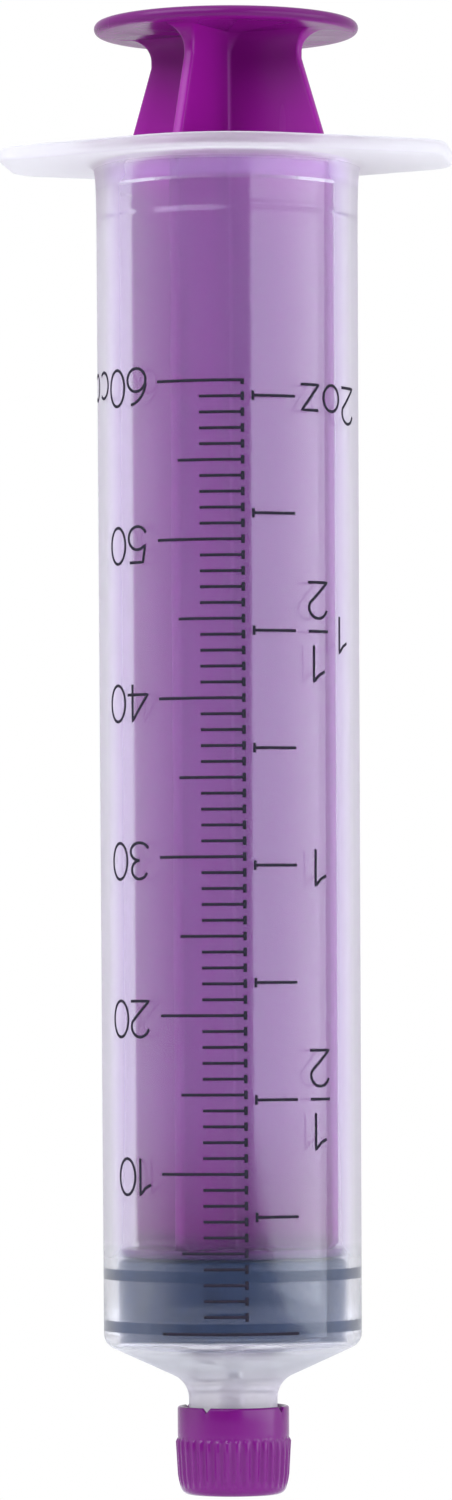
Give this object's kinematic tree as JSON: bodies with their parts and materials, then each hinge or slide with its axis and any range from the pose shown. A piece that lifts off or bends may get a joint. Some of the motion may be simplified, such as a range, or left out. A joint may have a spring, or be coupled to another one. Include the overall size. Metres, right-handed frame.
{
  "type": "oral syringe",
  "caption": "Oral and enteral feeding syringe with finger flange, sliding piston seal, cross-ribbed plunger rod and ribbed screw-on tip cap.",
  "frame": {"origin": "centre of the tip cap's flat base, on the syringe's axis", "axes": "+Z along the axis from the tip cap to the thumb rest, X along the finger flange's long direction"},
  "size_m": [0.052, 0.0376, 0.1699],
  "materials": {
    "frosted_barrel": "translucent natural polypropylene, satin outside, clear bore",
    "seal_rubber": "dark blue-grey rubber, silicone-oiled satin",
    "purple_rod": "moulded purple polypropylene, soft gloss",
    "purple_cap": "moulded purple polypropylene, slightly translucent"
  },
  "bodies": {
    "barrel": {"barrel": "frosted_barrel"},
    "seal": {"piston_seal": "seal_rubber"},
    "rod": {"plunger_rod": "purple_rod"},
    "cap": {"tip_cap": "purple_cap"}
  },
  "joints": [
    {"name": "plunger_slide", "type": "slide", "parent": "barrel", "child": "seal", "axis": [0, 0, 1], "range_m": [0, 0.1205]},
    {"name": "rod_swivel", "type": "hinge", "parent": "seal", "child": "rod", "pos_m": [0, 0, 0.0275], "axis": [0, 0, 1], "continuous": true},
    {"name": "cap_removal", "type": "slide", "parent": "barrel", "child": "cap", "axis": [0, 0, -1], "range_m": [0, 0.015]}
  ]
}
